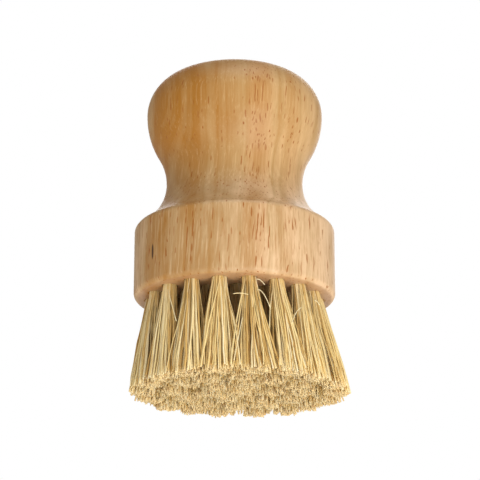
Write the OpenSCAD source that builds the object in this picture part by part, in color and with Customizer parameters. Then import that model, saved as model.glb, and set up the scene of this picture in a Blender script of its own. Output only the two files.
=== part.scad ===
// Palm brush: one turned wooden handle block, and tufts of plant fibre that staples hold in its drilled holes.
// Millimetres. +Z runs up through the knob. The origin is on the axis, in the flat plane of the bristle tips.

/* [Brush head] */
// Diameter of the round head that carries the tufts
head_d = 54.8; // [54:0.2:60]
// Height of the head's straight side, with both of its rounded edges
head_h = 20.5; // [17.5:0.1:26]
// Round on the head's lower edge
head_edge_r = 1.7; // [0.5:0.1:2.2]
// Round on the head's upper rim
rim_edge_r = 1.9; // [0.3:0.1:2.4]

/* [Knob] */
// Diameter of the waist between the head and the knob
waist_d = 37.6; // [36:0.2:41]
// Radius of the hollow that sweeps from the rim up to the waist
shoulder_r = 14.4; // [13:0.2:18]
// Radius of the hollow that sweeps from the waist up to the knob
neck_r = 16.6; // [11:0.2:22]
// Diameter of the knob where it is widest
knob_d = 48.8; // [46:0.2:54]
// Radius of the knob's side below its widest place
knob_lower_r = 22.4; // [17:0.2:28]
// Radius of the knob's side above its widest place
knob_upper_r = 11.4; // [8:0.2:14]
// Radius of the shallow crown over the top of the knob
crown_r = 116; // [60:1:160]

/* [Tuft holes] */
// Rings of holes round the middle one
ring_count = 3; // [1:1:3]
// Distance from one ring of holes to the next, as a share of the head's radius
ring_share = 0.27; // [0.26:0.002:0.274]
// Degrees that each ring's holes lean out more than those of the ring inside it
lean_step = 2.7; // [1.5:0.1:3]
// Diameter of a hole
hole_d = 4.1; // [3.8:0.1:4.4]
// Depth of a hole
hole_depth = 11; // [9:0.5:12]

/* [Bristles] */
// Length of the bristles outside the wood
bristle_l = 26.5; // [20:0.5:34]
// Strands in a tuft, each for a lock of fibres
strands = 12; // [8:1:12]
// Thickness of a strand where it leaves the wood
strand_root_d = 0.64; // [0.5:0.02:0.64]
// Thickness of a strand at its tip
strand_tip_d = 1.1; // [0.8:0.05:1.2]
// Clear space between neighbouring tufts at their tips
tip_gap = 0.3; // [0.2:0.05:0.8]
// Most that a strand stops short of the flat cut
tip_ragged = 0.9; // [0:0.1:1.5]
// Depth of the flat cut that the brush stands on
tip_cut = 0.5; // [0.2:0.1:1]
// Length of the packed bundle that shows below the hole
root_proud = 0.5; // [0.4:0.1:0.8]

/* [Staples] */
// Diameter of the staple wire
wire_d = 0.6; // [0.4:0.05:0.7]
// Distance between the middles of a staple's legs
staple_w = 3; // [2.7:0.05:3.1]
// Radius of a staple's bends, at the middle of the wire
staple_bend_r = 0.6; // [0.5:0.05:0.8]
// Depth that the legs are driven past the end of the hole
leg_bite = 3.5; // [2:0.25:4]
// Length of the point on a leg
leg_point = 0.8; // [0.4:0.1:1.2]

/* [Fits] */
// Gap round a bundle in its hole
root_fit = 0.05; // [0.03:0.01:0.1]
// Gap round a staple's wire where the bundle folds over it
fold_fit = 0.05; // [0.03:0.01:0.1]
// Gap round a staple's leg in the wood
leg_fit = 0.02; // [0.01:0.01:0.05]

/* [Hidden] */
$fn = 48;

// Levels, from the bristle tips up
underside_z = bristle_l;
rim_z = underside_z + head_h;

head_r = head_d / 2;
waist_r = waist_d / 2;
knob_r = knob_d / 2;
ring_step = ring_share * head_r;

// Each arc of the turned outline touches the next, so one angle places both
rim_turn = acos((waist_r + shoulder_r - head_r + rim_edge_r) / (shoulder_r + rim_edge_r));
waist_z = rim_z - rim_edge_r + (shoulder_r + rim_edge_r) * sin(rim_turn);
neck_turn = acos((waist_r + neck_r - knob_r + knob_lower_r) / (neck_r + knob_lower_r));
knob_z = waist_z + (neck_r + knob_lower_r) * sin(neck_turn);
crown_turn = acos((knob_r - knob_upper_r) / (crown_r - knob_upper_r));
crown_z = knob_z - (crown_r - knob_upper_r) * sin(crown_turn);
arc_step = 4;
crown_step = 1.5;

// Rings of tufts: their names, and the turn of each ring from the front
ring_names = ["middle", "inner", "mid", "outer"];
ring_turns = [0, 18, 3, 10];
front = -90;
rings = [0:ring_count];
function tufts_in(ring) = ring == 0 ? 1 : 6 * ring;
function tuft_name(ring, k) =
    ring == 0 ? "tuft_middle" : str("tuft_", ring_names[ring], "_", k + 1);
function staple_name(ring) =
    ring == 0 ? "staple_middle" : str("staples_", ring_names[ring]);

// The bundle in a hole and the staple that it folds over
root_r = hole_d / 2 - root_fit;
fold_r = root_r - wire_d / 4;
crown_wire_z = hole_depth - root_fit - fold_r;
fold_w = staple_w - wire_d - 2 * fold_fit;

// Strands spread from a packed circle to one that just clears the next tuft
golden_turn = 137.508;
packed_r = root_r - root_fit - strand_root_d / 2;
fanned_r = (ring_step + bristle_l * tan(lean_step) - tip_gap - strand_tip_d) / 2;
fan_power = 1.3;
strand_sides = 3;
strand_bend = 0.45;
root_overlap = 1.2;
through = 1;

// Points along a round stretch of an outline, from one angle to another
function arc(middle, r, from, to, step) =
    let (n = ceil(abs(to - from) / step))
    [for (i = [0:n]) let (a = from + (to - from) * i / n) middle + r * [cos(a), sin(a)]];

// Half of the turned outline, from the underside's middle round to the top's
function turned_outline() = concat(
    [[0, underside_z]],
    arc([head_r - head_edge_r, underside_z + head_edge_r], head_edge_r, -90, 0, 15),
    arc([head_r - rim_edge_r, rim_z - rim_edge_r], rim_edge_r, 0, rim_turn, 15),
    arc([waist_r + shoulder_r, waist_z], shoulder_r, 180 + rim_turn, 180, arc_step),
    arc([waist_r + neck_r, waist_z], neck_r, 180 - arc_step, 180 - neck_turn, arc_step),
    arc([knob_r - knob_lower_r, knob_z], knob_lower_r, arc_step - neck_turn, 0, arc_step),
    arc([knob_r - knob_upper_r, knob_z], knob_upper_r, arc_step, crown_turn, arc_step),
    arc([0, crown_z], crown_r, crown_turn + crown_step, 90, crown_step)
);

// Puts its children at a hole's mouth, with +Z running up the hole
module at_hole(ring, k) {
    rotate([0, 0, front + ring_turns[ring] + 360 * k / tufts_in(ring)])
    translate([ring * ring_step, 0, underside_z])
    rotate([0, -ring * lean_step, 0])
        children();
}

// A staple's two leg lines, each with its foot at the middle of its bend
module at_legs() {
    for (side = [-1, 1])
        translate([0, side * staple_w / 2, crown_wire_z + staple_bend_r])
            children();
}

// A leg: a wire that runs up from its bend and ends in a point
module leg(gap) {
    shank = hole_depth + leg_bite - leg_point - crown_wire_z - staple_bend_r;
    r = wire_d / 2 + gap;
    cylinder(r = r, h = shank);
    translate([0, 0, shank])
        cylinder(r1 = r, r2 = r / 4, h = leg_point + gap);
}

// One bend of a staple, from the crown wire up to its leg
module staple_bend() {
    translate([0, staple_bend_r - staple_w / 2, crown_wire_z + staple_bend_r])
    rotate([0, -90, 0])
    rotate([0, 0, 180])
    rotate_extrude(angle = 90)
    translate([staple_bend_r, 0])
        circle(d = wire_d);
}

// A staple: a crown wire across the hole, two bends and two pointed legs
module staple() {
    straight = staple_w - 2 * staple_bend_r;
    translate([0, straight / 2, crown_wire_z])
    rotate([90, 0, 0])
        cylinder(d = wire_d, h = straight);
    staple_bend();
    mirror([0, 1, 0])
        staple_bend();
    at_legs()
        leg(0);
}

// What is taken out of the wood for one tuft: its hole and the tracks of the staple's legs
module hole() {
    translate([0, 0, -through])
        cylinder(d = hole_d, h = hole_depth + through);
    at_legs()
        leg(leg_fit);
}

// The turned handle block, drilled for the tufts
module handle_block() {
    color("burlywood")
    difference() {
        rotate_extrude()
            polygon(turned_outline());
        for (ring = rings)
            for (k = [0:tufts_in(ring) - 1])
                at_hole(ring, k)
                    hole();
    }
}

// The bundle in its hole, folded in two over the staple's crown wire
module root_bundle() {
    difference() {
        union() {
            translate([0, 0, -root_proud])
                cylinder(r = root_r, h = crown_wire_z + root_proud - wire_d);
            intersection() {
                translate([0, 0, crown_wire_z - 2 * wire_d])
                    cylinder(r = root_r, h = hole_depth);
                union() {
                    translate([0, 0, crown_wire_z])
                    rotate([90, 0, 0])
                        cylinder(r = fold_r, h = fold_w, center = true);
                    translate([-fold_r, -fold_w / 2, crown_wire_z - 2 * wire_d])
                        cube([2 * fold_r, fold_w, 2 * wire_d]);
                }
            }
        }
        translate([0, 0, crown_wire_z])
        rotate([90, 0, 0])
            cylinder(r = wire_d / 2 + fold_fit, h = hole_d, center = true);
    }
}

// How wide the strands of a tuft stand at a share of the way to their tips
function fan(share) =
    packed_r + (fanned_r - packed_r) * pow(max(share, 0), fan_power);

// One strand, a slim bar of flat sides that runs from inside the bundle to its tip.
// spot is its place in the tuft's unit circle, short is what it lacks at the tip and turn sets its sides.
module strand(ring, spot, short, turn) {
    shares = [-root_overlap / bristle_l, strand_bend, 1 - short / bristle_l];
    points = [
        for (share = shares)
        for (side = [0:strand_sides - 1])
            let (
                r = (strand_root_d + (strand_tip_d - strand_root_d) * max(share, 0)) / 2,
                a = turn + 360 * side / strand_sides,
                out = ring * ring_step + bristle_l * share * tan(ring * lean_step)
            )
            [
                out + fan(share) * spot[0] + r * cos(a),
                fan(share) * spot[1] + r * sin(a),
                underside_z - bristle_l * share
            ]
    ];
    last = len(shares) - 1;
    sides = [
        for (level = [0:last - 1])
        for (side = [0:strand_sides - 1])
            let (
                a = level * strand_sides + side,
                b = level * strand_sides + (side + 1) % strand_sides
            )
            each [[a, b, b + strand_sides], [a, b + strand_sides, a + strand_sides]]
    ];
    root_end = [for (side = [strand_sides - 1:-1:0]) side];
    tip_end = [for (side = [0:strand_sides - 1]) last * strand_sides + side];
    polyhedron(points, concat([root_end], sides, [tip_end]));
}

// A tuft: the folded bundle, and its strands out to the cut tips
module tuft(ring, k) {
    seed = 100 * ring + k;
    shorts = rands(-tip_cut, tip_ragged, strands, seed);
    turns = rands(0, 360, strands, seed + 50);
    color("khaki") {
        at_hole(ring, k)
            root_bundle();
        rotate([0, 0, front + ring_turns[ring] + 360 * k / tufts_in(ring)])
        for (i = [0:strands - 1]) {
            reach = sqrt((i + 0.5) / strands);
            spot = reach * [cos(i * golden_turn + seed), sin(i * golden_turn + seed)];
            strand(ring, spot, max(shorts[i], 0), turns[i]);
        }
    }
}

// The staples of one ring
module staples(ring) {
    color("silver")
    for (k = [0:tufts_in(ring) - 1])
        at_hole(ring, k)
            staple();
}

handle_block();
for (ring = rings) {
    for (k = [0:tufts_in(ring) - 1])
        tuft(ring, k);
    staples(ring);
}
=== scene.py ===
"""A palm brush: a turned wooden handle block with stapled tufts of plant fibre.

The handle block is turned from its outline and drilled. Each tuft's fibres are made by one Geometry Nodes
tree, with a tuft's own seed. All lengths are in metres.
"""

import math
import random

import bmesh
import bpy
from mathutils import Matrix, Vector


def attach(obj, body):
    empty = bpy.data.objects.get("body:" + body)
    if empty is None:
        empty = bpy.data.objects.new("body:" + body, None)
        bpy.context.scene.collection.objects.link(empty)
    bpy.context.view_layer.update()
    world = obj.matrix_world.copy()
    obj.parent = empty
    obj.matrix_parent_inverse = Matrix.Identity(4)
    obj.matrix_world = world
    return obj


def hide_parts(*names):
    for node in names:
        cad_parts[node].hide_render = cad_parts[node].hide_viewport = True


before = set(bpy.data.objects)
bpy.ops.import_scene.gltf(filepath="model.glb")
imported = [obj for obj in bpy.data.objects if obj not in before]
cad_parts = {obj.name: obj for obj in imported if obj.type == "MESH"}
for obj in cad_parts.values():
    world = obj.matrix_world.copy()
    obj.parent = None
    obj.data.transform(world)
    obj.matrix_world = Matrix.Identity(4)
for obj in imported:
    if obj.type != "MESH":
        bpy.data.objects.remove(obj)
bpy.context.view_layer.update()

MM = 0.001

# Sizes of the handle block

HEAD_RADIUS = 27.4 * MM
HEAD_HEIGHT = 20.5 * MM
HEAD_EDGE_RADIUS = 1.7 * MM
RIM_EDGE_RADIUS = 1.9 * MM
WAIST_RADIUS = 18.8 * MM
SHOULDER_RADIUS = 14.4 * MM
NECK_RADIUS = 16.6 * MM
KNOB_RADIUS = 24.4 * MM
KNOB_LOWER_RADIUS = 22.4 * MM
KNOB_UPPER_RADIUS = 11.4 * MM
CROWN_RADIUS = 116.0 * MM

RINGS = 3
RING_STEP = 0.27 * HEAD_RADIUS
RING_NAMES = ("middle", "inner", "mid", "outer")
# In degrees: each ring's turn from the front, where the front is, and how much more each ring leans
RING_TURNS = (0.0, 18.0, 3.0, 10.0)
FRONT = -90
LEAN_STEP = 2.7
HOLE_RADIUS = 2.05 * MM
HOLE_DEPTH = 11.0 * MM
HOLE_CHAMFER = 0.12 * MM
# How far a drill bit reaches out of the wood
BIT_OVERRUN = 1 * MM

BRISTLE_LENGTH = 26.5 * MM
UNDERSIDE = BRISTLE_LENGTH
RIM = UNDERSIDE + HEAD_HEIGHT

# Degrees of an arc that one facet of the turned outline spans
HEAD_EDGE_FACET = 9
RIM_EDGE_FACET = 12
HOLLOW_FACET = 3
KNOB_LOWER_FACET = 3
KNOB_UPPER_FACET = 4
CROWN_FACET = 1
# The crown's arc stops just short of the axis, where a small flat closes it
CROWN_END = 89.6
# Points of the outline that are nearer than this count as one
SAME_PLACE = 0.01 * MM
HANDLE_SIDES = 160
BIT_SIDES = 28
# Edges that turn by more degrees than this stay sharp
SHARP_ANGLE = 32

# Sizes of the fibres

FIBRES_IN_TUFT = 170
FIBRE_POINTS = 9
FIBRE_SIDES = 5
FIBRE_THICKNESS = 0.38 * MM
# A fibre's girth as a share of the thickness, from the slimmest to the stoutest
FIBRE_GIRTHS = (0.6, 1.42)
# A fibre's girth where it leaves the wood and at its tip, as a share of its own
FIBRE_TAPER = (0.76, 1.1)
DEPTH_IN_WOOD = 8.5 * MM
PACKING_GAP = 0.25 * MM
TIP_CIRCLE_RADIUS = 4.15 * MM
TIP_CLEARANCE = 0.1 * MM
UNEVEN_TRIM = 2.7 * MM
BOW = 1.8 * MM
# How far tips roam from their places, in shares of the tip circle: each for itself, how many are strays and
# how much further those go, and locks as a whole
CROSSING = 0.5
STRAY_SHARE = 0.12
STRAY_REACH = 0.85
LOCK_DRIFT = 1.15
# The outermost fibres stop near this share of the tip circle, give or take
OUTER_EDGE = 0.74
OUTER_EDGE_PLAY = 0.1

# How whole tufts differ from each other
TUFT_SWAY = 0.8 * MM
TUFT_SHORTFALL = 0.45 * MM
TIP_SWEEP = Vector((0.95 * MM, 0.0, 0.0))
LEFT_SQUEEZE = 1.2 * MM
# Share of the way to the left at which the squeeze begins
SQUEEZE_START = 0.4
BACK_SPLAY = 1.5 * MM

# How the fibres of a tuft are cut short, as shares of the uneven trim that add up to the whole
LOCK_STEP_SHARE = 0.32
FRAY_SHARE = 0.28
DOME_SHARE = 0.4
# Taken off what every fibre would lose, so that those that would lose least aren't cut at all
UNCUT_SHARE = 0.17

# Each kind of random draw has its own number, and a tuft has a block of them
DRAWS_IN_TUFT = 50.0
STRAY_DRAW = 3
CROSSING_DRAW = 5
BOW_DRAW = 9
FRAY_DRAW = 12
GIRTH_DRAW = 13
TONE_DRAW = 14
WAVE_DRAW = 15
EDGE_DRAW = 17
GOLDEN_ANGLE = math.radians(137.508)

# Waves of the locks' noise across the radius of a tuft, and how far one tuft's noise lies from the next one's
LOCK_WAVES = 1.9
LOCK_SHIFT = 7.3
STEP_SHIFT = 3.1
# A lock is cut by nothing at the first value of its noise and by its whole share at the second
STEP_NOISE = (0.44, 0.72)
# How evenly a fibre fans out: 1 would be a straight line
FAN_POWER = 0.98
# A fibre's bow would be back at nought at this share of its free length
BOW_END = 1.15
# Waves of the ripple along a fibre, and its size as a share of the bow
RIPPLES = 3.2
RIPPLE_SHARE = 1.1

# Attributes that a tuft's tree works with, which its finished mesh does without
WORKING_ATTRIBUTES = ("root_spot", "tip_spot", "bow", "short", "girth", "wave")

# Fibres that have sprung out of their tufts: the tuft, tone from 0, dark, to 1, pale, then in mm how far
# sideways and down from the hole's mouth it starts and ends, and how far it arches up between
LOOSE_FIBRES = (
    ("outer_1", 1.0, (1.5, 1), (3.5, 2.5), 0.5),
    ("outer_1", 0.95, (1.5, 4), (4.5, 9), 1.5),
    ("outer_1", 0.8, (-5, 5.5), (-1, 5.5), 0.3),
    ("outer_1", 0.95, (-3, 12), (-6, 24), 0),
    ("outer_2", 0.95, (1, 13), (5, 7.5), 1),
    ("outer_2", 0.12, (1, 17), (-1, 25), 0),
    ("outer_3", 0.9, (-0.5, 7), (-1, 23), 0),
    ("outer_3", 1.0, (2.5, 4), (4.5, 5), 0.4),
    ("outer_16", 0.95, (2.5, 2), (8, 12), 0),
    ("outer_18", 0.02, (2.5, 6), (5.5, 16), 0),
)
LOOSE_THICKNESS = 0.22 * MM
LOOSE_GAP = 0.4 * MM
LOOSE_STEPS = 8
# Loose fibres are coloured like a tuft's fibres at this share of the way to their tips
LOOSE_ALONG = 0.6

# The wood: places and widths in mm

# Painted sheen: the wood is painted paler beyond this place along X, at its left edge
PAINTED_SHEEN_EDGE = -24.6
# Layers of the wood that are rich in vessels: middle along X, half width and share of vessels
RICH_LAYERS = ((4.4, 3.6, 0.97), (13.0, 2.4, 0.7), (-12.0, 2.0, 0.5))
# Share of vessels in the rest of the head and of the knob
HEAD_VESSELS = 0.42
KNOB_VESSELS = 0.22
# The wood deepens between these places, partly in its own colour and partly as painted shade: from right to
# left along X, and up into the knob along Z
DEEPENS_AND_SHADES_LEFT = (-24.0, 22.0)
DEEPENS_AND_SHADES_UP = (50.0, 70.0)
# Where the golden, smoother wood of the knob begins and where it is whole, along Z
KNOB_WOOD = (50.0, 62.0)
# How the tree's own axis leans from the brush's, in mm to a mm
GRAIN_LEAN_X = -0.045
GRAIN_LEAN_Y = 0.06
# How far the grain drifts and its layers warp, how much the layers slant, and how far the vessels wave
DRIFT_REACH = 2.0
WARP_REACH = 9.0
LAYER_SLANT = 0.1
VESSEL_REACH = (1.4, 2.0)
# How far apart in their noise two vessels read the lengths at which they show
VESSEL_SPREAD = 90.0
# Vessels to a mm across the grain, and a vessel's bold middle and faint edge, in shares of its room
VESSELS_IN_MM = 1.3
VESSEL_WIDTH = (0.16, 0.29)
# Where a fleck of bark lies along X and Z, and half its width and length
BARK_FLECK = (-21.65, 35.3)
BARK_FLECK_HALF = (0.26, 2.2)

# The wood's noises in waves to a mm, across the grain and along it
WARP = (0.05, 0.02)
STREAKS = (2.1, 0.06)
MOTTLE = (0.2, 0.09)
VESSEL_WAVES = (0.4, 0.12)
# The same for those that run one way alone
DRIFT = 0.02
LAYERS = 0.24
VESSEL_LENGTHS = 0.25
TURNING_MARKS = 2.2

PALE_WOOD = (0.745, 0.50, 0.285, 1)
TAN_WOOD = (0.49, 0.30, 0.13, 1)
AMBER_WOOD = (0.37, 0.155, 0.018, 1)
ROSY_WOOD = (0.54, 0.275, 0.11, 1)
DARK_STREAK = (0.40, 0.18, 0.045, 1)
PALE_STREAK = (0.84, 0.61, 0.36, 1)
KNOB_TINT = (1.05, 1.01, 0.89, 1)
# End grain's own colour, deepened by painted shade on the underside
END_GRAIN_AND_SHADE = (0.38, 0.20, 0.095, 1)
VESSEL = (0.33, 0.105, 0.012, 1)
BARK = (0.06, 0.025, 0.008, 1)

# The fibres: tones from dark to pale, by a fibre's own random number

FIBRE_TONES = (
    (0.00, (0.34, 0.18, 0.045, 1)),
    (0.09, (0.68, 0.43, 0.13, 1)),
    (0.40, (0.85, 0.63, 0.26, 1)),
    (0.75, (0.90, 0.72, 0.36, 1)),
    (1.00, (0.93, 0.80, 0.50, 1)),
)
FIBRE_FLECK = (0.58, 0.37, 0.14, 1)
# Painted shade that darkens the fibres towards the wood
ROOT_PAINTED_SHADE = (0.50, 0.32, 0.12, 1)
FIBRE_TIP = (0.93, 0.80, 0.54, 1)
# Painted shade for the middle of the tufts
HEART_PAINTED_SHADE = (0.22, 0.12, 0.04, 1)
# Flecks to a metre, across a fibre and along it
FIBRE_FLECKS = (1800.0, 1800.0, 260.0)
# The painted shade in the middle of the tufts fades between these distances from the axis, and between these
# heights, in mm
HEART_SHADE_EDGE = (17.0, 20.0)
HEART_SHADE_HEIGHTS = (8.0, 21.0)

DARK_WIRE = (0.42, 0.41, 0.39, 1)
PALE_WIRE = (0.62, 0.61, 0.58, 1)
WIRE_SCRATCHES = 2500.0

# The stage

FLOOR_COLOUR = (0.86, 0.86, 0.85, 1)
FLOOR_HALF = 3.0
AMBIENT = 0.36
# Square lights: name, place, side and power in watts
LIGHTS = (
    ("key", (0.34, -0.50, -0.24), 0.4, 2.7),
    ("low_front", (0.0, -0.36, -0.46), 0.4, 2.4),
    ("left_fill", (-0.50, -0.30, -0.24), 0.4, 0.6),
    ("back_fill", (0.05, 0.62, 0.36), 0.5, 1.8),
    ("overhead", (0.10, -0.25, 0.75), 0.5, 2.1),
)
LIGHTS_AIM = Vector((0.0, 0.0, 0.045))

# The camera's tilt is in degrees and its lens in mm
CAMERA_TILT = -17.55
CAMERA_DISTANCE = 0.531
CAMERA_LENS = 145.1
CAMERA_AIM = Vector((1.51 * MM, 0.0, 43.8 * MM))


# The turned outline


def arc(middle, radius, start, end, step):
    """Points of an outline, as (distance from the axis, height), along an arc of degrees."""
    count = max(1, math.ceil(abs(end - start) / step))
    angles = [math.radians(start + (end - start) * i / count) for i in range(count + 1)]
    return [(middle[0] + radius * math.cos(a), middle[1] + radius * math.sin(a)) for a in angles]


def turned_outline():
    """The handle block's outline from the underside up to the crown, each arc touching the next."""
    rim_reach = WAIST_RADIUS + SHOULDER_RADIUS - HEAD_RADIUS + RIM_EDGE_RADIUS
    rim_turn = math.degrees(math.acos(rim_reach / (SHOULDER_RADIUS + RIM_EDGE_RADIUS)))
    waist = RIM - RIM_EDGE_RADIUS + (SHOULDER_RADIUS + RIM_EDGE_RADIUS) * math.sin(math.radians(rim_turn))
    neck_reach = WAIST_RADIUS + NECK_RADIUS - KNOB_RADIUS + KNOB_LOWER_RADIUS
    neck_turn = math.degrees(math.acos(neck_reach / (NECK_RADIUS + KNOB_LOWER_RADIUS)))
    knob = waist + (NECK_RADIUS + KNOB_LOWER_RADIUS) * math.sin(math.radians(neck_turn))
    crown_reach = KNOB_RADIUS - KNOB_UPPER_RADIUS
    crown_turn = math.degrees(math.acos(crown_reach / (CROWN_RADIUS - KNOB_UPPER_RADIUS)))
    crown = knob - (CROWN_RADIUS - KNOB_UPPER_RADIUS) * math.sin(math.radians(crown_turn))

    head_edge_at = (HEAD_RADIUS - HEAD_EDGE_RADIUS, UNDERSIDE + HEAD_EDGE_RADIUS)
    rim_edge_at = (HEAD_RADIUS - RIM_EDGE_RADIUS, RIM - RIM_EDGE_RADIUS)
    shoulder_at = (WAIST_RADIUS + SHOULDER_RADIUS, waist)
    neck_at = (WAIST_RADIUS + NECK_RADIUS, waist)
    stretches = (
        arc(head_edge_at, HEAD_EDGE_RADIUS, -90, 0, HEAD_EDGE_FACET),
        arc(rim_edge_at, RIM_EDGE_RADIUS, 0, rim_turn, RIM_EDGE_FACET),
        arc(shoulder_at, SHOULDER_RADIUS, 180 + rim_turn, 180, HOLLOW_FACET),
        arc(neck_at, NECK_RADIUS, 180, 180 - neck_turn, HOLLOW_FACET),
        arc((KNOB_RADIUS - KNOB_LOWER_RADIUS, knob), KNOB_LOWER_RADIUS, -neck_turn, 0, KNOB_LOWER_FACET),
        arc((KNOB_RADIUS - KNOB_UPPER_RADIUS, knob), KNOB_UPPER_RADIUS, 0, crown_turn, KNOB_UPPER_FACET),
        arc((0.0, crown), CROWN_RADIUS, crown_turn, CROWN_END, CROWN_FACET),
    )
    points = []
    for stretch in stretches:
        points += [p for p in stretch if not points or math.dist(p, points[-1]) > SAME_PLACE]
    return points


# Objects


def new_object(name, mesh):
    """A new object with this mesh, linked into the scene."""
    piece = bpy.data.objects.new(name, mesh)
    bpy.context.scene.collection.objects.link(piece)
    return piece


def tuft_places():
    """Each tuft's name, ring, turn about the brush's axis and hole mouth."""
    places = []
    for ring in range(RINGS + 1):
        count = max(1, 6 * ring)
        for k in range(count):
            turn = math.radians(FRONT + RING_TURNS[ring] + 360 * k / count)
            name = RING_NAMES[ring] if ring == 0 else f"{RING_NAMES[ring]}_{k + 1}"
            mouth = Vector((math.cos(turn), math.sin(turn), 0)) * ring * RING_STEP + Vector((0, 0, UNDERSIDE))
            places.append((name, ring, turn, mouth))
    return places


def at_hole(ring, turn, mouth):
    """The matrix that puts a hole's own axes, with +Z running up it, in the brush's frame."""
    lean = math.radians(-ring * LEAN_STEP)
    return Matrix.Translation(mouth) @ Matrix.Rotation(turn, 4, "Z") @ Matrix.Rotation(lean, 4, "Y")


def revolve(points, sides):
    """A closed bmesh that the outline sweeps round the Z axis."""
    bm = bmesh.new()
    rings = []
    for radius, height in points:
        angles = [2 * math.pi * i / sides for i in range(sides)]
        rings.append([bm.verts.new((radius * math.cos(a), radius * math.sin(a), height)) for a in angles])
    for low, high in zip(rings, rings[1:]):
        for i in range(sides):
            j = (i + 1) % sides
            bm.faces.new((low[i], low[j], high[j], high[i]))
    bm.faces.new(list(reversed(rings[0])))
    bm.faces.new(rings[-1])
    return bm


def drill_bits():
    """One mesh of all the drill bits, each flared where it leaves the wood."""
    bm = bmesh.new()
    profile = (
        (HOLE_RADIUS + HOLE_CHAMFER + BIT_OVERRUN, -BIT_OVERRUN),
        (HOLE_RADIUS + HOLE_CHAMFER, 0.0),
        (HOLE_RADIUS, HOLE_CHAMFER),
        (HOLE_RADIUS, HOLE_DEPTH),
    )
    for _, ring, turn, mouth in tuft_places():
        part = revolve(profile, BIT_SIDES)
        part.transform(at_hole(ring, turn, mouth))
        mesh = bpy.data.meshes.new("drill_bit")
        part.to_mesh(mesh)
        part.free()
        bm.from_mesh(mesh)
        bpy.data.meshes.remove(mesh)
    mesh = bpy.data.meshes.new("drill_bits")
    bm.to_mesh(mesh)
    bm.free()
    return new_object("drill_bits", mesh)


def turned_handle():
    """The handle block, turned and then drilled."""
    bm = revolve(turned_outline(), HANDLE_SIDES)
    mesh = bpy.data.meshes.new("handle")
    bm.to_mesh(mesh)
    bm.free()
    handle = new_object("turned_handle", mesh)
    bits = drill_bits()
    cut = handle.modifiers.new("holes", "BOOLEAN")
    cut.operation = "DIFFERENCE"
    cut.solver = "EXACT"
    cut.object = bits
    drilled = bpy.data.meshes.new_from_object(handle.evaluated_get(bpy.context.evaluated_depsgraph_get()))
    handle.modifiers.clear()
    handle.data = drilled
    drilled.name = "turned_handle"
    bpy.data.meshes.remove(mesh)
    bpy.data.objects.remove(bits)
    for face in drilled.polygons:
        face.use_smooth = True
    drilled.set_sharp_from_angle(angle=math.radians(SHARP_ANGLE))
    return handle


# Node trees


class Nodes:
    """Makes and links the nodes of one tree, so that a formula reads from the inside out."""

    def __init__(self, tree):
        self.tree = tree
        self.count = 0

    def add(self, kind, inputs=None, **settings):
        node = self.tree.nodes.new(kind)
        node.location = (200 * (self.count // 6), -180 * (self.count % 6))
        self.count += 1
        for key, value in settings.items():
            setattr(node, key, value)
        for key, value in (inputs or {}).items():
            self.put(node.inputs[key], value)
        return node

    def put(self, socket, value):
        if isinstance(value, bpy.types.NodeSocket):
            self.tree.links.new(value, socket)
        else:
            socket.default_value = value

    def math(self, operation, a, b=0.0, clamp=False):
        return self.add("ShaderNodeMath", {0: a, 1: b}, operation=operation, use_clamp=clamp).outputs[0]

    def vector(self, operation, a, b=None, scale=None):
        node = self.add("ShaderNodeVectorMath", {0: a}, operation=operation)
        if b is not None:
            self.put(node.inputs[1], b)
        if scale is not None:
            self.put(node.inputs["Scale"], scale)
        return node.outputs["Value"] if operation == "LENGTH" else node.outputs[0]

    def combine(self, x, y, z):
        return self.add("ShaderNodeCombineXYZ", {0: x, 1: y, 2: z}).outputs[0]

    def separate(self, vector):
        return self.add("ShaderNodeSeparateXYZ", {0: vector}).outputs

    def remap(self, value, low, high, to_low=0.0, to_high=1.0, smooth=False):
        kind = "SMOOTHSTEP" if smooth else "LINEAR"
        inputs = {"Value": value, "From Min": low, "From Max": high, "To Min": to_low, "To Max": to_high}
        return self.add("ShaderNodeMapRange", inputs, interpolation_type=kind).outputs[0]

    def mix_colour(self, share, a, b, blend="MIX"):
        node = self.add("ShaderNodeMix", data_type="RGBA", blend_type=blend)
        self.put(node.inputs[0], share)
        self.put(node.inputs[6], a)
        self.put(node.inputs[7], b)
        return node.outputs[2]

    def mix_vector(self, share, a, b):
        node = self.add("ShaderNodeMix", data_type="VECTOR")
        self.put(node.inputs[0], share)
        self.put(node.inputs[4], a)
        self.put(node.inputs[5], b)
        return node.outputs[1]

    def noise(self, vector, detail=2.0, roughness=0.5):
        inputs = {"Vector": vector, "Scale": 1.0, "Detail": detail, "Roughness": roughness}
        return self.add("ShaderNodeTexNoise", inputs).outputs[0]

    def wander(self, vector):
        """A noise of its own along each axis, to both sides of nought."""
        colour = self.add("ShaderNodeTexNoise", {"Vector": vector, "Scale": 1.0, "Detail": 1.0}).outputs[1]
        return self.vector("SUBTRACT", colour, (0.5, 0.5, 0.5))


# The fibres


TUFT_INPUTS = (
    ("Fibres", "NodeSocketInt"),
    ("Mouth", "NodeSocketVector"),
    ("Turn", "NodeSocketFloat"),
    ("Lean", "NodeSocketFloat"),
    ("Free Length", "NodeSocketFloat"),
    ("Depth In Wood", "NodeSocketFloat"),
    ("Packed Radius", "NodeSocketFloat"),
    ("Fanned Radius", "NodeSocketFloat"),
    ("Thickness", "NodeSocketFloat"),
    ("Uneven Trim", "NodeSocketFloat"),
    ("Crossing", "NodeSocketFloat"),
    ("Bow", "NodeSocketFloat"),
    ("Stray Share", "NodeSocketFloat"),
    ("Stray Reach", "NodeSocketFloat"),
    ("Lock Drift", "NodeSocketFloat"),
    ("Outer Edge", "NodeSocketFloat"),
    ("Sweep", "NodeSocketVector"),
    ("Seed", "NodeSocketInt"),
    ("Fibre Material", "NodeSocketMaterial"),
)


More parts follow.
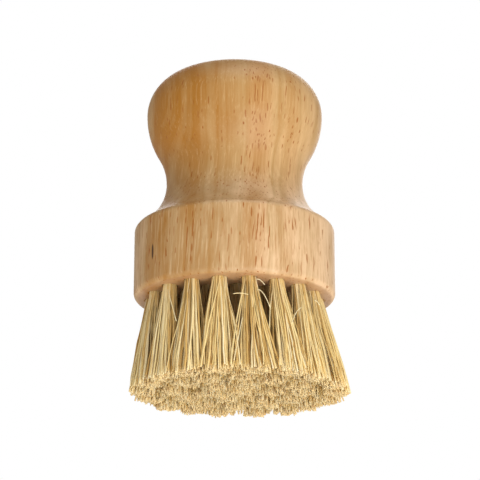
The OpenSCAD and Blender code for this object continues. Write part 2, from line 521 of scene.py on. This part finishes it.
def fibre_tree():
    """The Geometry Nodes tree that makes one tuft's fibres, from their ends in the hole to their cut tips."""
    tree = bpy.data.node_groups.new("Fibre tuft", "GeometryNodeTree")
    tree.interface.new_socket("Geometry", in_out="OUTPUT", socket_type="NodeSocketGeometry")
    for name, kind in TUFT_INPUTS:
        tree.interface.new_socket(name, in_out="INPUT", socket_type=kind)
    n = Nodes(tree)
    size = n.add("NodeGroupInput").outputs
    index = n.add("GeometryNodeInputIndex").outputs[0]

    def chance(low, high, draw):
        """A random number for each fibre, of its own draw and tuft."""
        seed = n.math("ADD", n.math("MULTIPLY", size["Seed"], DRAWS_IN_TUFT), float(draw))
        node = n.add("FunctionNodeRandomValue", data_type="FLOAT")
        n.put(node.inputs[2], low)
        n.put(node.inputs[3], high)
        n.put(node.inputs["ID"], index)
        n.put(node.inputs["Seed"], seed)
        return node.outputs[1]

    def polar(reach, angle):
        """The place at a reach and an angle from the tuft's middle."""
        x = n.math("MULTIPLY", reach, n.math("COSINE", angle))
        y = n.math("MULTIPLY", reach, n.math("SINE", angle))
        return n.combine(x, y, 0.0)

    def disc(draw):
        """A random place in the unit circle for each fibre."""
        return polar(n.math("SQRT", chance(0.0, 1.0, draw)), chance(0.0, 2 * math.pi, draw + 1))

    def own_noise_at(spot, shift):
        """Where the locks' noise for a spot is read, shifted from one tuft to the next."""
        moved = n.combine(n.math("MULTIPLY", size["Seed"], shift), 0.0, 0.0)
        return n.vector("ADD", n.vector("SCALE", spot, scale=LOCK_WAVES), moved)

    def keep(geometry, name, value, kind="FLOAT"):
        inputs = {"Geometry": geometry, "Name": name}
        node = n.add("GeometryNodeStoreNamedAttribute", inputs, data_type=kind, domain="POINT")
        n.put(node.inputs["Value"], value)
        return node.outputs[0]

    def read(name, kind="FLOAT"):
        return n.add("GeometryNodeInputNamedAttribute", {"Name": name}, data_type=kind).outputs[0]

    # A point for each fibre carries what is the fibre's own
    dots = n.add("GeometryNodePoints", {"Count": size["Fibres"]}).outputs[0]
    rank = n.math("SQRT", n.math("DIVIDE", n.math("ADD", index, 0.5), size["Fibres"]))
    spot = polar(rank, n.math("MULTIPLY", index, GOLDEN_ANGLE))
    stray = n.math("LESS_THAN", chance(0.0, 1.0, STRAY_DRAW), size["Stray Share"])
    roam = n.math("ADD", size["Crossing"], n.math("MULTIPLY", stray, size["Stray Reach"]))

    # Neighbouring fibres drift the same way, so that they part into locks
    lock = n.vector("SCALE", n.wander(own_noise_at(spot, LOCK_SHIFT)), scale=size["Lock Drift"])
    strayed = n.vector("ADD", n.vector("ADD", spot, lock), n.vector("SCALE", disc(CROSSING_DRAW), scale=roam))
    loose = n.separate(strayed)
    outer_edge = n.math("ADD", size["Outer Edge"], chance(-OUTER_EDGE_PLAY, OUTER_EDGE_PLAY, EDGE_DRAW))
    tip_spot = n.combine(n.math("MINIMUM", loose[0], outer_edge), loose[1], 0.0)

    # Fibres of one lock are cut alike, so that the tips stand in small steps. Those at the edge of a tuft are
    # cut shorter than its middle, so that its end is a little domed, and the longest aren't cut at all
    step = n.remap(n.noise(own_noise_at(tip_spot, STEP_SHIFT), 0.0), *STEP_NOISE)
    fray = n.math("POWER", chance(0.0, 1.0, FRAY_DRAW), 2.0)
    dome = n.math("POWER", n.math("MINIMUM", n.vector("LENGTH", tip_spot), 1.0), 3.0)
    short = n.math("ADD", n.math("MULTIPLY", step, LOCK_STEP_SHARE), n.math("MULTIPLY", fray, FRAY_SHARE))
    short = n.math("ADD", short, n.math("MULTIPLY", dome, DOME_SHARE))
    short = n.math("MAXIMUM", n.math("SUBTRACT", short, UNCUT_SHARE), 0.0)

    dots = keep(dots, "root_spot", spot, "FLOAT_VECTOR")
    dots = keep(dots, "tip_spot", tip_spot, "FLOAT_VECTOR")
    dots = keep(dots, "bow", disc(BOW_DRAW), "FLOAT_VECTOR")
    dots = keep(dots, "short", short)
    dots = keep(dots, "girth", chance(*FIBRE_GIRTHS, GIRTH_DRAW))
    dots = keep(dots, "fibre_tone", chance(0.0, 1.0, TONE_DRAW))
    dots = keep(dots, "wave", chance(0.0, 100.0, WAVE_DRAW))

    # Each point becomes a line of the same number of points, which is then laid along the fibre's path
    line = n.add("GeometryNodeCurvePrimitiveLine").outputs[0]
    line = n.add("GeometryNodeResampleCurve", {"Curve": line, "Count": FIBRE_POINTS}).outputs[0]
    lines = n.add("GeometryNodeInstanceOnPoints", {"Points": dots, "Instance": line}).outputs[0]
    lines = n.add("GeometryNodeRealizeInstances", {"Geometry": lines}).outputs[0]

    along = n.add("GeometryNodeSplineParameter").outputs["Factor"]
    length = size["Free Length"]
    cut = n.math("SUBTRACT", length, n.math("MULTIPLY", read("short"), size["Uneven Trim"]))
    whole = n.math("ADD", cut, size["Depth In Wood"])
    down = n.math("SUBTRACT", n.math("MULTIPLY", along, whole), size["Depth In Wood"])
    share = n.math("DIVIDE", down, length)
    out_share = n.math("MAXIMUM", share, 0.0)

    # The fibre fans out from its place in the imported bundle, bows to one side and ripples
    root = n.vector("SCALE", read("root_spot", "FLOAT_VECTOR"), scale=size["Packed Radius"])
    tip = n.vector("SCALE", read("tip_spot", "FLOAT_VECTOR"), scale=size["Fanned Radius"])
    fanned = n.mix_vector(n.math("POWER", out_share, FAN_POWER), root, tip)
    arch = n.math("MULTIPLY", out_share, n.math("SUBTRACT", BOW_END, out_share))
    sway = n.vector("SCALE", read("bow", "FLOAT_VECTOR"), scale=n.math("MULTIPLY", arch, size["Bow"]))
    ripple = n.wander(n.combine(read("wave"), n.math("MULTIPLY", share, RIPPLES), 0.0))
    ripple_size = n.math("MULTIPLY", out_share, n.math("MULTIPLY", size["Bow"], RIPPLE_SHARE))
    ripple = n.vector("SCALE", ripple, scale=ripple_size)
    flat = n.separate(n.vector("ADD", n.vector("ADD", fanned, sway), ripple))

    # It leans out with its hole, then takes its place in the brush
    outward = n.math("ADD", flat[0], n.math("MULTIPLY", down, n.math("TANGENT", size["Lean"])))
    point = n.combine(outward, flat[1], n.math("MULTIPLY", down, -1.0))
    turned = {"Vector": point, "Angle": size["Turn"]}
    point = n.add("ShaderNodeVectorRotate", turned, rotation_type="Z_AXIS").outputs[0]
    point = n.vector("ADD", point, size["Mouth"])
    point = n.vector("ADD", point, n.vector("SCALE", size["Sweep"], scale=out_share))
    lines = n.add("GeometryNodeSetPosition", {"Geometry": lines, "Position": point}).outputs[0]

    lines = keep(lines, "fibre_along", out_share)
    taper = n.remap(out_share, 0.0, 1.0, *FIBRE_TAPER)
    half = n.math("MULTIPLY", size["Thickness"], 0.5)
    radius = n.math("MULTIPLY", n.math("MULTIPLY", read("girth"), taper), half)
    profile = n.add("GeometryNodeCurvePrimitiveCircle", {"Resolution": FIBRE_SIDES, "Radius": 1.0}).outputs[0]
    inputs = {"Curve": lines, "Profile Curve": profile, "Fill Caps": True, "Scale": radius}
    mesh = n.add("GeometryNodeCurveToMesh", inputs).outputs[0]
    mesh = n.add("GeometryNodeRealizeInstances", {"Geometry": mesh}).outputs[0]
    mesh = n.add("GeometryNodeSetShadeSmooth", {"Geometry": mesh}).outputs[0]
    mesh = n.add("GeometryNodeSetMaterial", {"Geometry": mesh, "Material": size["Fibre Material"]}).outputs[0]
    n.add("NodeGroupOutput", {0: mesh})
    return tree


def fibre_tuft(tree, name, values):
    """One tuft of fibres as a plain mesh, from the tree and its input values."""
    piece = new_object(name, bpy.data.meshes.new(name + "_seat"))
    modifier = piece.modifiers.new("fibres", "NODES")
    modifier.node_group = tree
    for socket in tree.interface.items_tree:
        if socket.in_out == "INPUT":
            modifier[socket.identifier] = values[socket.name]
    seat = piece.data
    made = bpy.data.meshes.new_from_object(piece.evaluated_get(bpy.context.evaluated_depsgraph_get()))
    piece.modifiers.clear()
    piece.data = made
    made.name = name
    bpy.data.meshes.remove(seat)
    for working in WORKING_ATTRIBUTES:
        if working in made.attributes:
            made.attributes.remove(made.attributes[working])
    return piece


def loose_path(ring, turn, mouth, start, end, arch):
    """The places of a fibre that lies just in front of its tuft, from one (sideways, down) to another."""
    outward = Vector((math.cos(turn), math.sin(turn), 0.0))
    sideways = Vector((-math.sin(turn), math.cos(turn), 0.0))
    slope = math.tan(math.radians(ring * LEAN_STEP))
    path = []
    for i in range(LOOSE_STEPS + 1):
        t = i / LOOSE_STEPS
        side = (start[0] + (end[0] - start[0]) * t) * MM
        down = (start[1] + (end[1] - start[1]) * t - arch * 4 * t * (1 - t)) * MM
        share = down / BRISTLE_LENGTH
        fanned = HOLE_RADIUS + share * (OUTER_EDGE * TIP_CIRCLE_RADIUS - HOLE_RADIUS)
        out = fanned + down * slope + LOOSE_GAP
        path.append(mouth + outward * out + sideways * side + TIP_SWEEP * share - Vector((0.0, 0.0, down)))
    return path


def add_loose_fibre(tuft, path, thickness, tone):
    """Adds to a tuft a fibre that has sprung out of it, along the path."""
    bm = bmesh.new()
    bm.from_mesh(tuft.data)
    tone_layer = bm.verts.layers.float["fibre_tone"]
    along_layer = bm.verts.layers.float["fibre_along"]
    rings = []
    for i, place in enumerate(path):
        way = (path[min(i + 1, len(path) - 1)] - path[max(i - 1, 0)]).normalized()
        side = way.cross(Vector((0, 1, 0))).normalized()
        front = side.cross(way)
        ring = []
        for k in range(FIBRE_SIDES):
            angle = 2 * math.pi * k / FIBRE_SIDES
            vert = bm.verts.new(place + (side * math.cos(angle) + front * math.sin(angle)) * thickness / 2)
            vert[tone_layer] = tone
            vert[along_layer] = LOOSE_ALONG
            ring.append(vert)
        rings.append(ring)
    fresh = []
    for low, high in zip(rings, rings[1:]):
        for k in range(FIBRE_SIDES):
            j = (k + 1) % FIBRE_SIDES
            fresh.append(bm.faces.new((low[k], low[j], high[j], high[k])))
    fresh.append(bm.faces.new(list(reversed(rings[0]))))
    fresh.append(bm.faces.new(rings[-1]))
    for face in fresh:
        face.smooth = True
    bmesh.ops.recalc_face_normals(bm, faces=fresh)
    bm.to_mesh(tuft.data)
    bm.free()


# Materials


def new_material(name):
    """A new material, the helper for its nodes, and its shader."""
    material = bpy.data.materials.new(name)
    material.use_nodes = True
    material.node_tree.nodes.clear()
    n = Nodes(material.node_tree)
    shader = n.add("ShaderNodeBsdfPrincipled")
    output = n.add("ShaderNodeOutputMaterial")
    material.node_tree.links.new(shader.outputs[0], output.inputs[0])
    return material, n, shader


def bark_fleck(n, x, y, z):
    """How much of the fleck of bark shows: an upright oval in the front of the head."""
    aside = n.math("DIVIDE", n.math("ABSOLUTE", n.math("SUBTRACT", x, BARK_FLECK[0])), BARK_FLECK_HALF[0])
    above = n.math("DIVIDE", n.math("ABSOLUTE", n.math("SUBTRACT", z, BARK_FLECK[1])), BARK_FLECK_HALF[1])
    off_middle = n.math("ADD", n.math("POWER", aside, 2.0), n.math("POWER", above, 2.0))
    in_front = n.math("LESS_THAN", y, 0.0)
    return n.math("MULTIPLY", n.remap(off_middle, 0.5, 1.3, 0.95, 0.0, smooth=True), in_front)


def vessels(n, gx, gy, z, waves, rich):
    """How much of a vessel shows: slim wavy tubes that run up the grain, opened by the turned side."""
    wavy_x = n.math("ADD", gx, n.math("MULTIPLY", waves, VESSEL_REACH[0]))
    wavy_y = n.math("ADD", gy, n.math("MULTIPLY", waves, VESSEL_REACH[1]))
    inputs = {"Vector": n.combine(wavy_x, wavy_y, 0.0), "Scale": VESSELS_IN_MM}
    tubes = n.add("ShaderNodeTexVoronoi", inputs, feature="F1")
    tubes.voronoi_dimensions = "2D"
    near = n.remap(tubes.outputs["Distance"], *VESSEL_WIDTH, 1.0, 0.0, smooth=True)
    own = n.separate(tubes.outputs["Color"])
    own_x = n.math("MULTIPLY", own[0], VESSEL_SPREAD)
    own_y = n.math("MULTIPLY", own[1], VESSEL_SPREAD)
    stretch = n.noise(n.combine(own_x, own_y, n.math("MULTIPLY", z, VESSEL_LENGTHS)), 1.0)
    opened = n.remap(stretch, 0.45, 0.52, 0.0, 1.0, smooth=True)
    present = n.math("LESS_THAN", own[2], rich)
    boldness = n.remap(own[0], 0.0, 1.0, 0.5, 1.0)
    return n.math("MULTIPLY", n.math("MULTIPLY", near, opened), n.math("MULTIPLY", present, boldness))


def turned_wood():
    """Pale hardwood with its grain along Z: growth layers, fine fibre streaks and orange-brown vessels."""
    material, n, shader = new_material("turned_wood")
    place = n.add("ShaderNodeTexCoord").outputs["Object"]
    x, y, z = n.separate(n.vector("SCALE", place, scale=1 / MM))[:3]

    # The tree's own axis leans a little from the brush's, so the grain runs out of the turned sides
    drift = n.noise(n.combine(0.0, 0.0, n.math("MULTIPLY", z, DRIFT)))
    leaned_x = n.math("ADD", x, n.math("MULTIPLY", z, GRAIN_LEAN_X))
    gx = n.math("ADD", leaned_x, n.math("MULTIPLY", drift, DRIFT_REACH))
    gy = n.math("ADD", y, n.math("MULTIPLY", z, GRAIN_LEAN_Y))

    def grain(waves):
        """Where a noise is read that has so many waves to a mm, across the grain and along it."""
        across, along = waves
        return n.combine(
            n.math("MULTIPLY", gx, across), n.math("MULTIPLY", gy, across), n.math("MULTIPLY", z, along)
        )

    # Where the side is cut across the grain, its streaks shrink to dots; the knob is smoother and golden
    facing = n.separate(n.add("ShaderNodeNewGeometry").outputs["Normal"])[2]
    along_grain = n.remap(n.math("ABSOLUTE", facing), 0.12, 0.6, 1.0, 0.25, smooth=True)
    golden = n.remap(z, *KNOB_WOOD, smooth=True)
    along_grain = n.math("MULTIPLY", along_grain, n.math("SUBTRACT", 1.0, n.math("MULTIPLY", golden, 0.4)))

    # Growth layers stand along Y, with clear edges; some of them are rich in vessels and rosy
    warp = n.noise(grain(WARP))
    slanted = n.math("ADD", gx, n.math("MULTIPLY", gy, LAYER_SLANT))
    layer = n.math("ADD", slanted, n.math("MULTIPLY", warp, WARP_REACH))
    bands = n.noise(n.combine(n.math("MULTIPLY", layer, LAYERS), 0.0, 0.0), 3.0, 0.6)
    rich = n.remap(golden, 0.0, 1.0, HEAD_VESSELS, KNOB_VESSELS)
    for middle, half_width, strength in RICH_LAYERS:
        away = n.math("ABSOLUTE", n.math("SUBTRACT", gx, middle))
        here = n.remap(away, half_width * 0.5, half_width * 1.5, strength, 0.0, smooth=True)
        rich = n.math("MAXIMUM", rich, here)

    streaks = n.noise(grain(STREAKS), 3.0, 0.7)
    mottle = n.noise(grain(MOTTLE), 3.0)

    # The wood deepens from pale on the right to amber on the left, and up into the knob: partly its own
    # colour, partly painted shade on the left side and the knob
    depth_and_shade = n.math("ADD", n.remap(x, *DEEPENS_AND_SHADES_LEFT, 0.78, 0.08), n.remap(z, *DEEPENS_AND_SHADES_UP, 0.0, 0.28))
    blotch = n.remap(golden, 0.0, 1.0, 0.9, 0.5)
    depth_and_shade = n.math("ADD", depth_and_shade, n.math("MULTIPLY", n.math("SUBTRACT", mottle, 0.5), blotch))
    depth_and_shade = n.math("ADD", depth_and_shade, n.remap(bands, 0.42, 0.56, -0.12, 0.12))
    # Painted sheen: a paler strip at the left edge of the head and knob
    painted_sheen = n.remap(gx, PAINTED_SHEEN_EDGE - 0.5, PAINTED_SHEEN_EDGE + 0.5, 0.3, 0.0)
    depth_and_shade = n.math("SUBTRACT", depth_and_shade, painted_sheen, clamp=True)
    colour = n.mix_colour(n.remap(depth_and_shade, 0.0, 0.5), PALE_WOOD, TAN_WOOD)
    colour = n.mix_colour(n.remap(depth_and_shade, 0.5, 1.0), colour, AMBER_WOOD)
    colour = n.mix_colour(n.remap(rich, 0.4, 1.0, 0.0, 0.35), colour, ROSY_WOOD)
    dark = n.math("MULTIPLY", n.remap(streaks, 0.5, 0.70, 0.0, 0.6), along_grain)
    light = n.math("MULTIPLY", n.remap(streaks, 0.3, 0.46, 0.4, 0.0), along_grain)
    colour = n.mix_colour(dark, colour, DARK_STREAK)
    colour = n.mix_colour(light, colour, PALE_STREAK)
    colour = n.mix_colour(golden, colour, KNOB_TINT, blend="MULTIPLY")

    # The flat underside is end grain, which drinks in more of the finish; its darkening is also painted shade
    # on the downward face
    low_down = n.math("LESS_THAN", z, UNDERSIDE / MM + 1.0)
    end_grain_and_shade = n.math("MULTIPLY", n.remap(facing, -0.97, -0.8, 0.6, 0.0), low_down)
    colour = n.mix_colour(end_grain_and_shade, colour, END_GRAIN_AND_SHADE)

    vessel = vessels(n, gx, gy, z, n.noise(grain(VESSEL_WAVES), 2.0), rich)
    colour = n.mix_colour(vessel, colour, VESSEL)
    colour = n.mix_colour(bark_fleck(n, x, y, z), colour, BARK)

    n.put(shader.inputs["Base Color"], colour)
    shader.inputs["Roughness"].default_value = 0.46
    shader.inputs["Coat Weight"].default_value = 0.06
    shader.inputs["Coat Roughness"].default_value = 0.3
    shader.inputs["Specular IOR Level"].default_value = 0.3
    turning = n.noise(n.combine(0.0, 0.0, n.math("MULTIPLY", z, TURNING_MARKS)), 2.0)
    height = n.math("SUBTRACT", n.math("MULTIPLY", streaks, 0.5), n.math("MULTIPLY", vessel, 0.6))
    height = n.math("ADD", height, n.math("MULTIPLY", turning, 0.35))
    bump = n.add("ShaderNodeBump", {"Height": height, "Strength": 0.22, "Distance": 0.12 * MM})
    n.put(shader.inputs["Normal"], bump.outputs[0])
    return material


def plant_fibre():
    """Stiff straw-coloured plant fibre, each fibre of its own tone, darkened a little towards the wood and in
    the heart of the tufts by painted shade.
    """
    material, n, shader = new_material("plant_fibre")
    tone = n.add("ShaderNodeAttribute", attribute_name="fibre_tone").outputs["Fac"]
    along = n.add("ShaderNodeAttribute", attribute_name="fibre_along").outputs["Fac"]
    ramp = n.add("ShaderNodeValToRGB", {"Fac": tone})
    elements = ramp.color_ramp.elements
    while len(elements) < len(FIBRE_TONES):
        elements.new(0.5)
    for element, (position, colour) in zip(elements, FIBRE_TONES):
        element.position = position
        element.color = colour
    place = n.add("ShaderNodeTexCoord").outputs["Object"]
    flecks = n.noise(n.vector("MULTIPLY", place, FIBRE_FLECKS))
    colour = n.mix_colour(n.remap(flecks, 0.5, 0.8, 0.0, 0.35), ramp.outputs[0], FIBRE_FLECK)
    # Painted shade: the fibres darken towards the wood, among the tufts
    colour = n.mix_colour(n.remap(along, 0.0, 0.5, 0.18, 0.0), colour, ROOT_PAINTED_SHADE)
    colour = n.mix_colour(n.remap(along, 0.93, 1.0, 0.0, 0.45), colour, FIBRE_TIP)

    # Painted shade: the middle of the tufts, behind the outer ring and near the wood, is painted darker
    x, y, z = n.separate(n.vector("SCALE", place, scale=1 / MM))[:3]
    off_axis = n.vector("LENGTH", n.combine(x, y, 0.0))
    heart_shade = n.math("MULTIPLY", n.remap(off_axis, *HEART_SHADE_EDGE, 0.6, 0.0), n.remap(z, *HEART_SHADE_HEIGHTS, 0.0, 1.0))
    colour = n.mix_colour(heart_shade, colour, HEART_PAINTED_SHADE)
    n.put(shader.inputs["Base Color"], colour)
    shader.inputs["Roughness"].default_value = 0.5
    shader.inputs["Specular IOR Level"].default_value = 0.4
    bump = n.add("ShaderNodeBump", {"Height": flecks, "Strength": 0.15, "Distance": 0.05 * MM})
    n.put(shader.inputs["Normal"], bump.outputs[0])
    return material


def drawn_wire():
    """Dull drawn steel wire."""
    material, n, shader = new_material("drawn_wire")
    place = n.add("ShaderNodeTexCoord").outputs["Object"]
    scratches = n.noise(n.vector("SCALE", place, scale=WIRE_SCRATCHES), 3.0)
    n.put(shader.inputs["Base Color"], n.mix_colour(scratches, DARK_WIRE, PALE_WIRE))
    n.put(shader.inputs["Roughness"], n.remap(scratches, 0.2, 0.8, 0.3, 0.5))
    shader.inputs["Metallic"].default_value = 1.0
    return material


# The brush


def tuft_habit(seed, mouth):
    """How far a whole tuft's tips are swept aside, and how much shorter it is cut than the longest."""
    dice = random.Random(seed)
    sway = (dice.uniform(-TUFT_SWAY, TUFT_SWAY), dice.uniform(-TUFT_SWAY, TUFT_SWAY), 0.0)
    outer_ring = RINGS * RING_STEP
    far_left = max(0.0, -mouth.x / outer_ring - SQUEEZE_START) / (1 - SQUEEZE_START)
    far_back = max(0.0, mouth.y / outer_ring)
    sweep = TIP_SWEEP + Vector(sway) + Vector((LEFT_SQUEEZE * far_left, BACK_SPLAY * far_back, 0.0))
    return sweep, dice.uniform(0.0, TUFT_SHORTFALL)


def build_brush():
    """The handle block and the tufts in their places, and the steel of the staples."""
    handle = turned_handle()
    handle.data.materials.clear()
    handle.data.materials.append(turned_wood())
    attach(handle, "root")
    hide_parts("handle_block")

    tree = fibre_tree()
    fibre = plant_fibre()
    for seed, (name, ring, turn, mouth) in enumerate(tuft_places()):
        sweep, shortfall = tuft_habit(seed, mouth)
        tuft = fibre_tuft(
            tree,
            "fibres_" + name,
            {
                "Fibres": FIBRES_IN_TUFT,
                "Mouth": mouth,
                "Turn": turn,
                "Lean": math.radians(ring * LEAN_STEP),
                "Free Length": BRISTLE_LENGTH - TIP_CLEARANCE - shortfall,
                "Depth In Wood": DEPTH_IN_WOOD,
                "Packed Radius": HOLE_RADIUS - PACKING_GAP,
                "Fanned Radius": TIP_CIRCLE_RADIUS,
                "Thickness": FIBRE_THICKNESS,
                "Uneven Trim": UNEVEN_TRIM,
                "Crossing": CROSSING,
                "Bow": BOW,
                "Stray Share": STRAY_SHARE,
                "Stray Reach": STRAY_REACH,
                "Lock Drift": LOCK_DRIFT,
                "Outer Edge": OUTER_EDGE,
                "Sweep": sweep,
                "Seed": seed,
                "Fibre Material": fibre,
            },
        )
        for owner, tone, start, end, arch in LOOSE_FIBRES:
            if owner == name:
                add_loose_fibre(tuft, loose_path(ring, turn, mouth, start, end, arch), LOOSE_THICKNESS, tone)
        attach(tuft, "root")
        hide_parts("tuft_" + name)

    wire = drawn_wire()
    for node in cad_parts:
        if node.startswith("staple"):
            for slot in bpy.data.objects[node].material_slots:
                slot.material = wire


# Stage


def soft_light(name, place, side, power):
    """A square light that faces the middle of the brush."""
    data = bpy.data.lights.new(name, "AREA")
    data.shape = "RECTANGLE"
    data.size = side
    data.size_y = side
    data.energy = power
    lamp = bpy.data.objects.new(name, data)
    bpy.context.scene.collection.objects.link(lamp)
    lamp.location = place
    lamp.rotation_euler = (LIGHTS_AIM - Vector(place)).to_track_quat("-Z", "Y").to_euler()


def pale_floor():
    """A floor that shows only from above, because the photograph looks up from under its level."""
    bm = bmesh.new()
    bmesh.ops.create_grid(bm, x_segments=1, y_segments=1, size=FLOOR_HALF)
    mesh = bpy.data.meshes.new("floor")
    bm.to_mesh(mesh)
    bm.free()
    floor = new_object("floor", mesh)
    material, n, shader = new_material("pale_floor")
    shader.inputs["Base Color"].default_value = FLOOR_COLOUR
    shader.inputs["Roughness"].default_value = 0.8
    output = next(node for node in n.tree.nodes if node.type == "OUTPUT_MATERIAL")
    under = n.add("ShaderNodeNewGeometry").outputs["Backfacing"]
    clear = n.add("ShaderNodeBsdfTransparent").outputs[0]
    mixed = n.add("ShaderNodeMixShader", {0: under, 1: shader.outputs[0], 2: clear}).outputs[0]
    n.tree.links.new(mixed, output.inputs[0])
    mesh.materials.append(material)
    floor.visible_shadow = False


def white_backdrop():
    """A world that is white to the camera and dimmer as a light."""
    scene = bpy.context.scene
    world = bpy.data.worlds.new("studio") if scene.world is None else scene.world
    scene.world = world
    world.use_nodes = True
    world.node_tree.nodes.clear()
    w = Nodes(world.node_tree)
    seen = w.add("ShaderNodeLightPath").outputs["Is Camera Ray"]
    strength = w.remap(seen, 0.0, 1.0, AMBIENT, 1.0)
    background = w.add("ShaderNodeBackground", {"Color": (1, 1, 1, 1), "Strength": strength}).outputs[0]
    w.add("ShaderNodeOutputWorld", {0: background})


def build_stage():
    """The floor, the backdrop and the lights."""
    bpy.context.scene.view_settings.view_transform = "Standard"
    pale_floor()
    white_backdrop()
    for name, place, side, power in LIGHTS:
        soft_light(name, place, side, power)


def build_camera():
    """The camera, at the photograph's angle."""
    data = bpy.data.cameras.new("camera")
    data.sensor_width = 36.0
    data.lens = CAMERA_LENS
    camera = bpy.data.objects.new("camera", data)
    bpy.context.scene.collection.objects.link(camera)
    tilt = math.radians(CAMERA_TILT)
    camera.location = CAMERA_AIM + CAMERA_DISTANCE * Vector((0.0, -math.cos(tilt), math.sin(tilt)))
    camera.rotation_euler = (math.pi / 2 - tilt, 0.0, 0.0)
    bpy.context.scene.camera = camera


build_camera()
build_stage()
build_brush()
